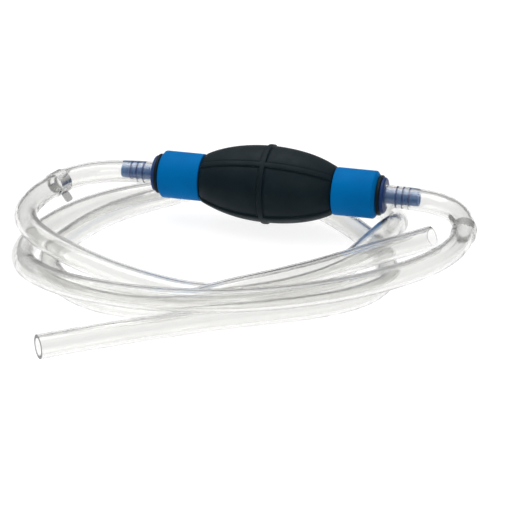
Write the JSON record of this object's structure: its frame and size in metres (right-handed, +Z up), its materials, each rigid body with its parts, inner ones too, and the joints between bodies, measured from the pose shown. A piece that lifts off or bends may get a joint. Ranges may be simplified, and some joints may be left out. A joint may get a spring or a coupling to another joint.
{
  "type": "hand siphon pump with hoses",
  "caption": "Squeeze-bulb siphon pump: ribbed rubber bulb between two collared one-way valves, with a clear clipped hose on each side.",
  "frame": {"origin": "middle of the squeeze bulb, on the pump's axis, 29.5 mm above the surface that the hoses lie on", "axes": "+X along the pump from the inlet spigot to the outlet spigot, the way the liquid flows; +Z up; -Y towards the side where the hoses are laid in loops"},
  "size_m": [0.2824, 0.2743, 0.0548],
  "materials": {
    "bulb_rubber": "satin moulded rubber",
    "collar_plastic": "satin",
    "connector_plastic": "translucent, polished",
    "seat_rubber": "matt",
    "ball_steel": "polished",
    "spring_steel": "drawn wire",
    "cage_plastic": "moulded",
    "clear_hose": "clear flexible vinyl",
    "clip_steel": "zinc plated"
  },
  "bodies": {
    "pump": {"bulb": "bulb_rubber", "inlet_collar": "collar_plastic", "outlet_collar": "collar_plastic", "inlet_connector": "connector_plastic", "outlet_connector": "connector_plastic", "inlet_valve_seat": "seat_rubber", "outlet_valve_seat": "seat_rubber", "inlet_valve_spring": "spring_steel", "outlet_valve_spring": "spring_steel", "inlet_valve_cage": "cage_plastic", "outlet_valve_cage": "cage_plastic", "inlet_hose": "clear_hose", "inlet_hose_end": "clear_hose", "outlet_hose": "clear_hose", "outlet_hose_end": "clear_hose", "inlet_hose_clip": "clip_steel", "outlet_hose_clip": "clip_steel"},
    "inlet_ball": {"inlet_valve_ball": "ball_steel"},
    "outlet_ball": {"outlet_valve_ball": "ball_steel"}
  },
  "joints": [
    {"name": "inlet_valve_lift", "type": "slide", "parent": "pump", "child": "inlet_ball", "axis": [1, 0, 0], "range_m": [0, 0.0025], "stiffness_N_per_m": 60, "springref_m": -0.0015, "deforming": ["inlet_valve_spring"]},
    {"name": "outlet_valve_lift", "type": "slide", "parent": "pump", "child": "outlet_ball", "axis": [1, 0, 0], "range_m": [0, 0.0025], "stiffness_N_per_m": 60, "springref_m": -0.0015, "deforming": ["outlet_valve_spring"]}
  ]
}
